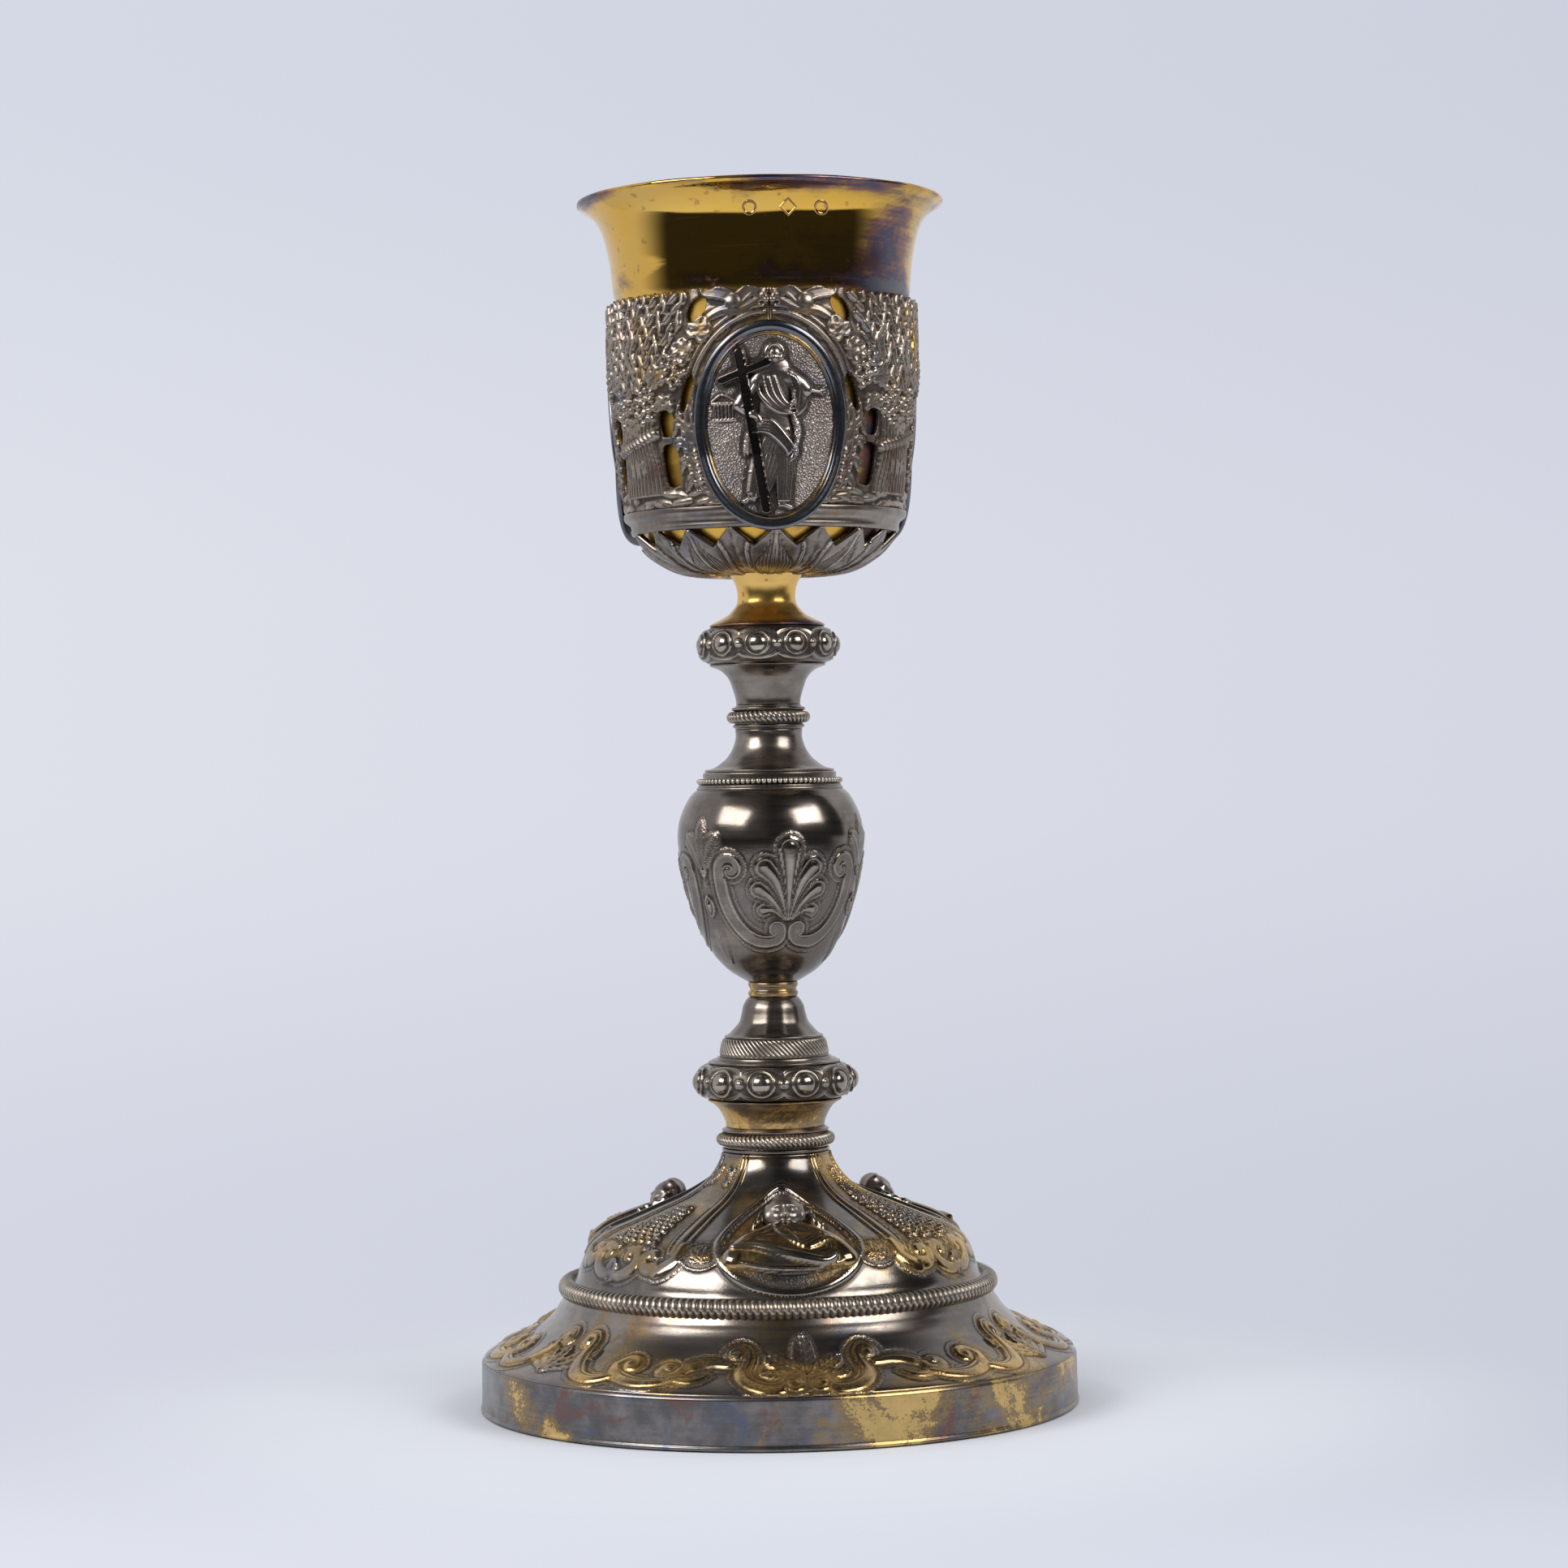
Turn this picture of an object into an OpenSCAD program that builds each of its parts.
// Communion chalice: a gilt cup in an openwork basket, on a stem of turned and stamped pieces that one
// tie rod clamps to a stepped round foot. Millimetres, +Z up, origin at the centre of the plane the foot
// rests on. The front medallion faces -Y, turned a little towards +X.

/* [Foot] */
// Outer radius of the foot
foot_r = 74.4; // [60:0.2:90]
// Height of the upright rim of the foot
rim_h = 12.6; // [8:0.2:20]
// Height of the flared skirt above the rim
skirt_h = 13.2; // [8:0.2:20]
// Thickness of the gadrooned wire, as the radius of its round section
gadroon_r = 2.9; // [2:0.1:4]
// Height of the domed upper foot
dome_h = 31.4; // [24:0.2:40]
// Radius of the domed upper foot at its lower edge
dome_r = 50.6; // [40:0.2:56]
// Radius of the foot's neck
foot_neck_r = 13.4; // [11:0.1:16]
// Inner radius of the flat ring the foot stands on
base_ring_bore_r = 62; // [50:1:70]

/* [Lower stem] */
// Height of the roped collar at the top of the foot
base_collar_h = 6.2; // [5:0.1:8]
// Radius of the twisted wire around it, as its round section
base_rope_r = 1.5; // [1:0.1:2]
// Height of the lower spool
lower_spool_h = 7.1; // [5:0.1:12]
// Radius of the lower spool at its upper edge
lower_spool_r = 16.7; // [14:0.1:19]
// Height of the lower knop
lower_knop_h = 8.8; // [7:0.1:12]
// Radius of the lower knop
lower_knop_r = 19.6; // [18:0.1:24]
// Thickness of the flange on the lower knop
flange_h = 1.6; // [1:0.1:2]
// Height of the twisted band
band_h = 4.8; // [3:0.1:7]
// Radius of the twisted band at its lower edge
band_r = 13.7; // [12:0.1:16]
// Height of the bell above the twisted band
bell_h = 10; // [8:0.1:14]

/* [Nodus] */
// Height of the small ferrule under the nodus
ferrule_h = 4; // [2:0.1:5.5]
// Radius of the small ferrule
ferrule_r = 6.3; // [5.5:0.1:8]
// Height of the ovoid nodus
nodus_h = 47.8; // [40:0.1:60]
// Largest radius of the nodus
nodus_r = 23.3; // [20:0.1:28]
// Height of the cover that closes the nodus
cover_h = 4.5; // [2.6:0.1:5.5]
// Radius of the cover
cover_r = 18.4; // [17:0.1:20]

/* [Upper stem] */
// Height of the spool that flares down to the nodus
neck_h = 10.6; // [9:0.1:16]
// Radius of that spool at its lower edge
neck_r = 16.2; // [14:0.1:17]
// Height of the upper roped collar
upper_rope_collar_h = 6.2; // [5:0.1:8]
// Height of the upper spool
upper_spool_h = 10.1; // [8:0.1:14]
// Radius of the upper spool at its upper edge
upper_spool_r = 14.4; // [12:0.1:17]
// Height of the upper knop
upper_knop_h = 9.4; // [8:0.1:13]
// Radius of the upper knop
upper_knop_r = 17.1; // [16:0.1:22]
// Height of the gilt collar under the cup
gilt_collar_h = 13.4; // [9:0.1:15]
// Radius of the gilt collar at its lower edge
gilt_collar_r = 14.4; // [12:0.1:17]
// Bosses around each knop
boss_count = 11; // [8:1:14]

/* [Cup and basket] */
// Height of the cup, from its flat underside to its lip
cup_h = 91.4; // [70:0.2:110]
// Outer radius of the lip
lip_r = 45.8; // [40:0.1:52]
// Height of the leaf cup under the basket
leaf_cup_h = 9.6; // [9:0.1:12]
// Radius of the leaf cup at its upper edge
leaf_cup_r = 32.8; // [30:0.1:36]
// Height of the moulded band between the leaf cup and the basket panels
basket_band_h = 5.3; // [3:0.1:7]
// Height of the openwork basket panels
panel_h = 53; // [50:0.2:56]
// Outer radius of the panels at their widest, under the ornament
panel_r = 38; // [37.8:0.1:39]
// Height of each oval medallion
medallion_h = 50.6; // [44:0.2:52]
// Width of each oval medallion, measured around the basket
medallion_w = 39; // [32:0.2:44]
// Width of the raised frame around each medallion
frame_w = 3.6; // [2.5:0.1:5]

/* [Fastening] */
// Radius of the tie rod
rod_r = 3; // [2.5:0.1:4]
// Thread pitch of the tie rod
rod_pitch = 1; // [0.75:0.05:1.5]
// Radius of the socket under the cup
socket_r = 5.6; // [5:0.1:6]
// Length of rod that screws into the socket
socket_grip = 9; // [6:0.5:11]
// Half the span of the wing nut
wing_reach = 11.5; // [9:0.1:12]

/* [Sheet] */
// Wall thickness of the spun and stamped pieces
wall = 0.9; // [0.7:0.1:1.2]
// Gap around the tie rod in each piece that it centres
rod_gap = 0.3; // [0.1:0.05:0.5]

/* [Hidden] */
$fn = 96;

bore_r = rod_r + rod_gap;
medallion_turn = 3;
running_gap = 0.05;
gap = 0.02;
curve_steps = 4;

// Levels, each the underside of its piece, from the foot up
skirt_z = rim_h;
gadroon_z = skirt_z + skirt_h + gadroon_r;
dome_z = gadroon_z + gadroon_r;
base_collar_z = dome_z + dome_h;
lower_spool_z = base_collar_z + base_collar_h;
lower_knop_z = lower_spool_z + lower_spool_h;
flange_z = lower_knop_z + lower_knop_h;
band_z = flange_z + flange_h;
bell_z = band_z + band_h;
ferrule_z = bell_z + bell_h;
nodus_z = ferrule_z + ferrule_h;
cover_z = nodus_z + nodus_h;
neck_z = cover_z + cover_h;
upper_rope_collar_z = neck_z + neck_h;
upper_spool_z = upper_rope_collar_z + upper_rope_collar_h;
upper_knop_z = upper_spool_z + upper_spool_h;
gilt_collar_z = upper_knop_z + upper_knop_h;
leaf_cup_z = gilt_collar_z + gilt_collar_h;
basket_band_z = leaf_cup_z + leaf_cup_h;
panel_z = basket_band_z + basket_band_h;
leaf_base_t = 1.6;
cup_z = leaf_cup_z + leaf_base_t + gap;
medallion_z = panel_z + 18.9;

// Outlines, each a list of [radius, height] as shares of the piece's largest radius and its height
gilt_collar_outline = [[1, 0], [0.98, 0.05], [0.85, 0.125], [0.7, 0.21], [0.6, 0.31], [0.52, 0.44], [0.505, 0.6],
    [0.53, 0.76], [0.58, 0.88], [0.64, 1]];
upper_knop_outline = [[0.82, 0], [0.93, 0.12], [0.985, 0.3], [1, 0.48], [0.985, 0.66], [0.93, 0.85], [0.82, 1]];
upper_spool_outline = [[0.55, 0], [0.56, 0.16], [0.607, 0.4], [0.67, 0.64], [0.76, 0.8], [0.85, 0.89], [1, 0.97],
    [1, 1]];
neck_outline = [[1, 0], [0.99, 0.04], [0.91, 0.08], [0.83, 0.13], [0.74, 0.23], [0.648, 0.357], [0.56, 0.58],
    [0.515, 0.82], [0.52, 1]];
nodus_outline = [[0.28, 0], [0.45, 0.05], [0.56, 0.1], [0.645, 0.153], [0.75, 0.255], [0.835, 0.358],
    [0.9, 0.46], [0.95, 0.56], [0.985, 0.663], [1, 0.75], [0.989, 0.816], [0.962, 0.868], [0.92, 0.918],
    [0.858, 0.97], [0.8, 1]];
bell_outline = [[1, 0], [0.89, 0.108], [0.79, 0.24], [0.7, 0.38], [0.655, 0.56], [0.615, 0.78], [0.55, 0.93],
    [0.5, 1]];
band_outline = [[1, 0], [0.985, 0.25], [0.965, 0.55], [0.94, 0.8], [0.89, 1]];
lower_spool_outline = [[0.737, 0], [0.75, 0.22], [0.81, 0.52], [0.87, 0.72], [0.94, 0.86], [1, 0.92], [1, 1]];
dome_outline = [[1, 0], [0.982, 0.04], [0.963, 0.1], [0.96, 0.17], [0.943, 0.25], [0.9, 0.33], [0.82, 0.41],
    [0.7, 0.49], [0.58, 0.57], [0.46, 0.65], [0.385, 0.72], [0.335, 0.79], [0.297, 0.87], [0.272, 0.95],
    [0.265, 1]];
skirt_outline = [[1, 0], [0.985, 0.06], [0.94, 0.18], [0.885, 0.31], [0.835, 0.46], [0.79, 0.64],
    [0.757, 0.82], [0.735, 1]];
leaf_cup_outline = [[0.3, 0], [0.46, 0.015], [0.6, 0.06], [0.7, 0.16], [0.785, 0.31], [0.885, 0.55],
    [0.95, 0.8], [1, 1]];
panel_outline = [[0.908, 0], [0.926, 0.12], [0.948, 0.24], [0.966, 0.34], [0.98, 0.48], [0.992, 0.62],
    [1, 0.76], [0.998, 0.9], [0.993, 1]];
cup_outline = [[0.131, 0], [0.28, 0.004], [0.41, 0.011], [0.5, 0.022], [0.57, 0.036], [0.62, 0.055],
    [0.655, 0.08], [0.68, 0.115], [0.703, 0.16], [0.728, 0.22], [0.752, 0.3], [0.778, 0.45], [0.793, 0.6], [0.802, 0.71], [0.816, 0.77], [0.83, 0.835], [0.852, 0.889],
    [0.878, 0.929], [0.912, 0.956], [0.958, 0.976], [0.99, 0.989], [1, 0.996]];

// Smooth curve through the points of an outline
function at_index(p, i) = p[min(max(i, 0), len(p) - 1)];
function between(p, i, t) = let (a = at_index(p, i - 1), b = p[i], c = p[i + 1], d = at_index(p, i + 2))
    0.5 * (2 * b + (c - a) * t + (2 * a - 5 * b + 4 * c - d) * t * t + (3 * b - a - 3 * c + d) * t * t * t);
function curve(p) = concat([for (i = [0 : len(p) - 2], k = [0 : curve_steps - 1]) between(p, i, k / curve_steps)],
    [p[len(p) - 1]]);
// The curve in millimetres, from shares of radius r and height h
function sized(outline, r, h) = [for (p = curve(outline)) [p[0] * r, p[1] * h]];
// The curve moved inwards by t, along its normals
function inwards(c, t) = [for (i = [0 : len(c) - 1])
    let (a = at_index(c, i - 1), b = at_index(c, i + 1), d = b - a, n = norm(d)) c[i] + t * [-d[1], d[0]] / n];

// A spun piece that is open below, with a web at the top that has the rod's hole
module spun(outline, r, h, web = 1) {
    outer = sized(outline, r, h);
    inner = [for (p = inwards(outer, wall)) if (p[1] > 0.15 && p[1] < h - web - 0.15) p];
    n = len(inner) - 1;
    rotate_extrude()
        polygon(concat(outer, [[bore_r, h], [bore_r, h - web], [inner[n][0], h - web]],
            [for (i = [n : -1 : 0]) inner[i]], [[inner[0][0], 0]]));
}

// A thin shell that is open at both ends
module shell(outline, r, h, t = wall) {
    outer = sized(outline, r, h);
    inner = [for (p = inwards(outer, t)) if (p[1] > 0.1 && p[1] < h - 0.1) p];
    n = len(inner) - 1;
    rotate_extrude()
        polygon(concat(outer, [[inner[n][0], h]], [for (i = [n : -1 : 0]) inner[i]], [[inner[0][0], 0]]));
}

// A round section bent into a ring
module ring(major, minor) {
    rotate_extrude()
        translate([major, 0]) circle(r = minor);
}

// A collar with a groove for a twisted wire
module roped_collar(r, h, rope_r, groove_r) {
    difference() {
        cylinder(r = r, h = h);
        translate([0, 0, h / 2]) ring(groove_r, rope_r + gap);
        translate([0, 0, -1]) cylinder(r = bore_r, h = h + 2);
    }
}

// Bosses on the widest part of a knop
module bosses(r, size) {
    for (i = [0 : boss_count - 1])
        rotate([0, 0, i * 360 / boss_count]) translate([r - size / 2, 0, 0]) sphere(r = size);
}

// Copies for the three medallions, or for the three places between them
module thrice(offset = 0) {
    for (i = [0 : 2]) rotate([0, 0, -90 + medallion_turn + offset + i * 120]) children();
}

// An oval block that points along +X, with its middle on the +X axis
module oval_block(w, h, depth, sides = 48) {
    rotate([90, 0, 90]) linear_extrude(height = depth)
        polygon([for (i = [0 : sides - 1]) [w / 2 * cos(i * 360 / sides), h / 2 * sin(i * 360 / sides)]]);
}

// The chord of an arc of a given length, at a radius
function chord(arc, r) = 2 * r * sin(arc / r * 90 / PI);

module cup() {
    color("goldenrod") {
        outer = sized(cup_outline, lip_r, cup_h);
        inner = [for (p = inwards(outer, wall)) if (p[1] > 1 && p[1] < cup_h - 0.3) p];
        n = len(inner) - 1;
        translate([0, 0, cup_z]) rotate_extrude()
            polygon(concat([[0, 0]], outer, [[lip_r - 0.5, cup_h], [lip_r - wall, cup_h]],
                [for (i = [n : -1 : 0]) inner[i]], [[0, inner[0][1]]]));
    }
}

module cup_socket() {
    socket_top = cup_z;
    rod_top = gilt_collar_z + 1.6 + socket_grip;
    color("darkgoldenrod") difference() {
        translate([0, 0, rod_top - socket_grip]) cylinder(r = socket_r, h = socket_top - rod_top + socket_grip);
        translate([0, 0, rod_top - socket_grip - 1]) cylinder(r = rod_r + running_gap, h = socket_grip + 2);
    }
}

panel_t = 0.7;
plaque_r = panel_r + 0.55;
rivet_r = 0.9;
rivet_turn = (medallion_w - frame_w) / 2 / plaque_r * 180 / PI;
module basket_panels() {
    seam = 0.3;
    color("silver") thrice(60) difference() {
        union() {
            translate([0, 0, panel_z]) panel_sheet(120 - seam);
            difference() {
                sheaf();
                translate([0, 0, panel_z]) panel_core();
            }
        }
        for (side = [-1, 1]) {
            rotate([0, 0, side * 17]) window(5, 10, panel_z + 15);
            rotate([0, 0, side * 25]) window(4, 7, panel_z + 29.5);
            rotate([0, 0, side * 27]) window(6, 6.4, panel_z + 45.5);
            rotate([0, 0, side * 60]) rivet_holes();
        }
    }
}

// One third of the basket's wall, symmetric about +X
module panel_sheet(angle) {
    outer = sized(panel_outline, panel_r, panel_h);
    inner = [for (p = inwards(outer, panel_t)) if (p[1] > 0.1 && p[1] < panel_h - 0.1) p];
    n = len(inner) - 1;
    rotate([0, 0, -angle / 2]) rotate_extrude(angle = angle)
        polygon(concat(outer, [[inner[n][0], panel_h]], [for (i = [n : -1 : 0]) inner[i]], [[inner[0][0], 0]]));
}

// What keeps a sheaf from reaching in past the wall
module panel_core() {
    outer = sized(panel_outline, panel_r - 0.35, panel_h);
    rotate_extrude() polygon(concat([[0, 0]], outer, [[0, panel_h]]));
}

// A tied sheaf of corn that stands on the outside of a panel: a fan of stalks under ears, and its binding
module sheaf() {
    tie_z = panel_z + 16;
    ear_r = 1.45;
    for (i = [-2 : 2]) translate([panel_r - 0.9 - abs(i) * 0.35, 0, tie_z]) rotate([i * 12, 0, 0])
        translate([0, 0, 12 - abs(i) * 4]) cylinder(r = ear_r, h = 20);
    translate([panel_r - 1.6, 0, tie_z]) rotate([90, 0, 0]) cylinder(r = 1.9, h = 7, center = true);
}

// An upright oval opening through the wall on the +X side
module window(w, h, z) {
    translate([panel_r - 6, 0, z]) oval_block(w, h, 12, 20);
}

// The holes for the two rivets that hold a medallion, one on each side of +X
module rivet_holes() {
    for (side = [-1, 1]) rotate([0, 0, side * rivet_turn]) translate([panel_r - 6, 0, medallion_z])
        rotate([0, 90, 0]) cylinder(r = rivet_r + gap, h = 12);
}

// An oval piece of sheet on the outside of the basket, from `low` to `high` above the panels' face
module oval_sheet(w, h, low, high) {
    seat_r = leaf_cup_r + 3;
    path = [for (p = sized(panel_outline, panel_r, panel_h)) [max(p[0], seat_r) + gap, p[1]]];
    n = len(path) - 1;
    intersection() {
        translate([0, 0, medallion_z]) oval_block(chord(w, plaque_r), h, panel_r + 5);
        translate([0, 0, panel_z]) rotate_extrude() polygon(concat(
            [[seat_r + gap + high, -10]], [for (p = path) p + [high, 0]],
            [for (i = [n : -1 : 0]) path[i] + [low, 0]], [[seat_r + gap + low, -10]]));
    }
}

module medallion_frames() {
    color("lightsteelblue") thrice() difference() {
        oval_sheet(medallion_w, medallion_h, 0, 1.7);
        translate([0, 0, medallion_z])
            oval_block(chord(medallion_w - 2 * frame_w, plaque_r), medallion_h - 2 * frame_w, panel_r + 5);
        rivet_holes();
    }
}

module medallion_plaques() {
    color("gray") thrice()
        oval_sheet(medallion_w - 2 * frame_w - 2 * gap, medallion_h - 2 * frame_w - 2 * gap, 0, 1);
}

module medallion_rivets() {
    root = plaque_r - 2.3;
    head = plaque_r + 0.75;
    color("silver") thrice() for (side = [-1, 1]) rotate([0, 0, side * rivet_turn])
        translate([root, 0, medallion_z]) rotate([0, 90, 0]) cylinder(r = rivet_r, h = head - root);
}

module basket_band() {
    outer = [[0, 0], [0.6, 0.1], [0.8, 0.25], [0.75, 0.4], [1.7, 0.6], [2.5, 0.8], [2.5, 1]];
    color("silver") translate([0, 0, basket_band_z]) rotate_extrude()
        polygon(concat([for (p = curve(outer)) [leaf_cup_r + p[0], p[1] * basket_band_h]],
            [[leaf_cup_r + 1.1, basket_band_h], [leaf_cup_r - 1.2, 0]]));
}

module leaf_cup() {
    outer = sized(leaf_cup_outline, leaf_cup_r, leaf_cup_h);
    inner = [for (p = inwards(outer, wall)) if (p[1] > leaf_base_t && p[1] < leaf_cup_h - 0.1) p];
    n = len(inner) - 1;
    notches = 20;
    color("silver") translate([0, 0, leaf_cup_z]) difference() {
        rotate_extrude() polygon(concat([[socket_r + 0.4, 0]], outer, [[inner[n][0], leaf_cup_h]],
            [for (i = [n : -1 : 0]) inner[i]], [[inner[0][0] - 1, leaf_base_t], [socket_r + 0.4, leaf_base_t]]));
        for (i = [0 : notches - 1]) rotate([0, 0, (i + 0.5) * 360 / notches])
            translate([leaf_cup_r, 0, leaf_cup_h]) rotate([45, 0, 0]) cube([14, 3.6, 3.6], center = true);
    }
}

module gilt_collar() {
    color("gold") translate([0, 0, gilt_collar_z]) difference() {
        shell(gilt_collar_outline, gilt_collar_r, gilt_collar_h);
        translate([0, 0, -1]) cylinder(r = socket_r + 0.3, h = gilt_collar_h + 2);
    }
}

module upper_knop() {
    color("silver") translate([0, 0, upper_knop_z]) union() {
        spun(upper_knop_outline, upper_knop_r, upper_knop_h, 1.2);
        intersection() {
            translate([0, 0, upper_knop_h / 2]) bosses(upper_knop_r - 0.4, 2.6);
            knop_skin(upper_knop_r, upper_knop_h);
        }
    }
}

// A ring that keeps bosses from reaching into a knop
module knop_skin(r, h) {
    difference() {
        cylinder(r = r + 2, h = h);
        translate([0, 0, -1]) cylinder(r = r - wall, h = h + 2);
    }
}

module upper_spool() {
    color("gray") translate([0, 0, upper_spool_z]) spun(upper_spool_outline, upper_spool_r, upper_spool_h);
}

upper_rope_r = 1.45;
upper_rope_major = 9.05;
module upper_rope_collar() {
    color("silver") translate([0, 0, upper_rope_collar_z])
        roped_collar(9.2, upper_rope_collar_h, upper_rope_r, upper_rope_major);
}

module upper_rope_ring() {
    color("lightgray") translate([0, 0, upper_rope_collar_z + upper_rope_collar_h / 2])
        ring(upper_rope_major, upper_rope_r);
}

module neck_spool() {
    color("gray") translate([0, 0, neck_z]) spun(neck_outline, neck_r, neck_h);
}

bead_r = 0.75;
bead_ring_major = cover_r - bead_r - 0.1;
ledge_h = 1.5;
tube_r = 4.8;
module bead_ring() {
    beads = 44;
    color("lightgray") translate([0, 0, cover_z + ledge_h + bead_r + gap]) union() {
        ring(bead_ring_major, bead_r * 0.6);
        for (i = [0 : beads - 1]) rotate([0, 0, i * 360 / beads]) translate([bead_ring_major, 0, 0])
            sphere(r = bead_r);
    }
}

module nodus_cover() {
    color("silver") translate([0, 0, cover_z]) difference() {
        union() {
            cylinder(r = cover_r, h = ledge_h);
            cylinder(r = neck_r + 0.4, h = cover_h);
        }
        translate([0, 0, -1]) cylinder(r = tube_r + 0.1, h = cover_h + 2);
    }
}

module nodus_tube() {
    color("peru") translate([0, 0, nodus_z]) difference() {
        cylinder(r = tube_r, h = nodus_h + cover_h);
        translate([0, 0, -1]) cylinder(r = bore_r, h = nodus_h + cover_h + 2);
    }
}

module nodus() {
    cabochon_r = 2.4;
    color("dimgray") translate([0, 0, nodus_z]) union() {
        shell(nodus_outline, nodus_r, nodus_h);
        for (turn = [0, 60]) thrice(turn + 8) translate([nodus_r - 1.9, 0, nodus_h * 0.7])
            sphere(r = cabochon_r);
    }
}

module ferrule() {
    color("gold") translate([0, 0, ferrule_z]) difference() {
        cylinder(r = ferrule_r, h = ferrule_h);
        translate([0, 0, ferrule_h / 2]) ring(ferrule_r + 0.25, 0.5);
        translate([0, 0, -1]) cylinder(r = bore_r, h = ferrule_h + 2);
    }
}

module bell_collar() {
    color("gray") translate([0, 0, bell_z]) spun(bell_outline, band_r * 0.9, bell_h);
}

module twisted_band() {
    color("silver") translate([0, 0, band_z]) spun(band_outline, band_r, band_h);
}

module knop_flange() {
    color("silver") translate([0, 0, flange_z]) difference() {
        cylinder(r = lower_spool_r - 0.2, h = flange_h);
        translate([0, 0, -1]) cylinder(r = bore_r, h = flange_h + 2);
    }
}

module lower_knop() {
    color("silver") translate([0, 0, lower_knop_z]) union() {
        spun(upper_knop_outline, lower_knop_r, lower_knop_h, 1.2);
        intersection() {
            translate([0, 0, lower_knop_h / 2]) bosses(lower_knop_r - 0.4, 2.7);
            knop_skin(lower_knop_r, lower_knop_h);
        }
    }
}

module lower_spool() {
    color("goldenrod") translate([0, 0, lower_spool_z]) spun(lower_spool_outline, lower_spool_r, lower_spool_h);
}

base_rope_major = foot_neck_r;
module base_rope_collar() {
    color("silver") translate([0, 0, base_collar_z])
        roped_collar(foot_neck_r, base_collar_h, base_rope_r, base_rope_major);
}

module base_rope_ring() {
    color("lightgray") translate([0, 0, base_collar_z + base_collar_h / 2]) ring(base_rope_major, base_rope_r);
}

disc_h = 1.5;
disc_r = foot_neck_r - wall - running_gap;
module neck_disc() {
    color("peru") translate([0, 0, base_collar_z - disc_h]) difference() {
        cylinder(r = disc_r, h = disc_h);
        translate([0, 0, -1]) cylinder(r = bore_r, h = disc_h + 2);
    }
}

module foot_dome() {
    disc_tilt = 62;
    portrait_r = 9;
    color("dimgray") translate([0, 0, dome_z]) union() {
        shell(dome_outline, dome_r, dome_h);
        thrice(3) translate([dome_r * 0.7, 0, dome_h * 0.5]) rotate([0, 90 - disc_tilt, 0])
            translate([0, 0, -1]) cylinder(r = portrait_r, h = 2.4);
    }
}

gadroon_major = foot_r * 0.7;
module gadroon_ring() {
    color("lightgray") translate([0, 0, gadroon_z]) ring(gadroon_major, gadroon_r);
}

module foot_skirt() {
    color("dimgray") translate([0, 0, skirt_z]) shell(skirt_outline, foot_r, skirt_h);
}

rim_t = 1.2;
module foot_rim() {
    color("darkgoldenrod") rotate_extrude()
        polygon([[foot_r - rim_t, 0], [foot_r - 0.25, 0], [foot_r, 0.3], [foot_r, rim_h], [foot_r - rim_t, rim_h]]);
}

module foot_base_ring() {
    base_ring_h = 1.5;
    color("peru") difference() {
        cylinder(r = foot_r - rim_t - gap, h = base_ring_h);
        translate([0, 0, -1]) cylinder(r = base_ring_bore_r, h = base_ring_h + 2);
    }
}

washer_h = 2;
washer_z = base_collar_z - disc_h - washer_h;
nut_h = 6;
nut_z = washer_z - nut_h;
nut_travel = 7;
module tie_rod() {
    rod_low = nut_z - nut_travel - 2;
    rod_top = gilt_collar_z + 1.6 + socket_grip;
    tip = 0.6;
    color("darkgray") rotate_extrude()
        polygon([[0, rod_low], [rod_r - tip, rod_low], [rod_r, rod_low + tip], [rod_r, rod_top - tip],
            [rod_r - tip, rod_top], [0, rod_top]]);
}

module clamp_washer() {
    color("peru") translate([0, 0, washer_z]) difference() {
        cylinder(r = 9, h = washer_h);
        translate([0, 0, -1]) cylinder(r = rod_r + rod_gap, h = washer_h + 2);
    }
}

module wing_nut() {
    hub_r = 5.6;
    wing_t = 2;
    wing_tip_r = 3.2;
    color("darkgoldenrod") translate([0, 0, nut_z]) difference() {
        union() {
            cylinder(r1 = hub_r - 1, r2 = hub_r, h = nut_h);
            for (side = [-1, 1]) translate([side * (wing_reach - wing_tip_r), wing_t / 2, wing_tip_r - 3])
                rotate([90, 0, 0]) cylinder(r = wing_tip_r, h = wing_t);
            translate([-(wing_reach - wing_tip_r), -wing_t / 2, -2]) cube([2 * (wing_reach - wing_tip_r), wing_t, 4]);
        }
        translate([0, 0, -5]) cylinder(r = rod_r + running_gap, h = nut_h + 10);
    }
}

cup();
cup_socket();
basket_panels();
medallion_frames();
medallion_plaques();
medallion_rivets();
basket_band();
leaf_cup();
gilt_collar();
upper_knop();
upper_spool();
upper_rope_collar();
upper_rope_ring();
neck_spool();
bead_ring();
nodus_cover();
nodus_tube();
nodus();
ferrule();
bell_collar();
twisted_band();
knop_flange();
lower_knop();
lower_spool();
base_rope_collar();
base_rope_ring();
neck_disc();
foot_dome();
gadroon_ring();
foot_skirt();
foot_rim();
foot_base_ring();
tie_rod();
clamp_washer();
wing_nut();
